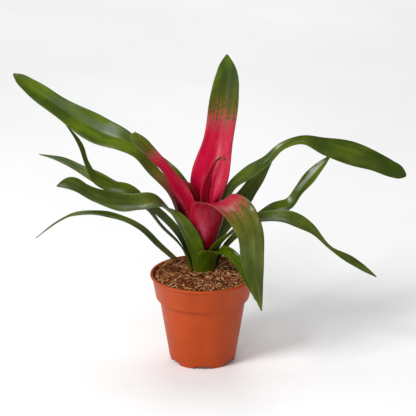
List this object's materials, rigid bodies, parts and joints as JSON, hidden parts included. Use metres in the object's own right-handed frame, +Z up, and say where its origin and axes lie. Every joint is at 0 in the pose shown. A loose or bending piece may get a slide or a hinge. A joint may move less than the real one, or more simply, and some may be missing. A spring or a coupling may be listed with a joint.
{
  "type": "potted bromeliad",
  "caption": "Bromeliad rosette with red inner bracts and arching strap-shaped green leaves, growing in potting mix in a small tapered nursery pot.",
  "frame": {"origin": "centre of the pot's underside, on the surface the pot stands on", "axes": "+Z up; -Y is the front of the plant; +X to the right seen from the front, along the widest spread of the leaves"},
  "size_m": [0.3956, 0.1971, 0.307],
  "materials": {
    "pot_plastic": "satin moulded terracotta-coloured plastic",
    "potting_fibre": "loose brown coir and bark fibre",
    "crown_tissue": "pale green plant tissue",
    "leaf_green": "glossy green leaf with fine lengthwise veins",
    "leaf_crimson": "glossy crimson bract",
    "leaf_two_tone": "glossy crimson passing into olive green"
  },
  "bodies": {
    "root": {"nursery_pot": "pot_plastic", "potting_mix": "potting_fibre", "stem_crown": "crown_tissue", "leaf_tall_red": "leaf_two_tone", "leaf_red_left": "leaf_crimson", "leaf_red_curled": "leaf_crimson", "leaf_red_short": "leaf_crimson", "leaf_front_arch": "leaf_two_tone", "leaf_front_low": "leaf_green", "leaf_left_arch": "leaf_green", "leaf_left_high": "leaf_green", "leaf_left_upturned": "leaf_green", "leaf_left_mid": "leaf_green", "leaf_left_low": "leaf_green", "leaf_left_rear": "leaf_green", "leaf_right_high": "leaf_green", "leaf_right_short": "leaf_green", "leaf_right_mid": "leaf_green", "leaf_right_arch": "leaf_green", "leaf_rear_left": "leaf_green", "leaf_rear_right": "leaf_green"}
  },
  "joints": []
}
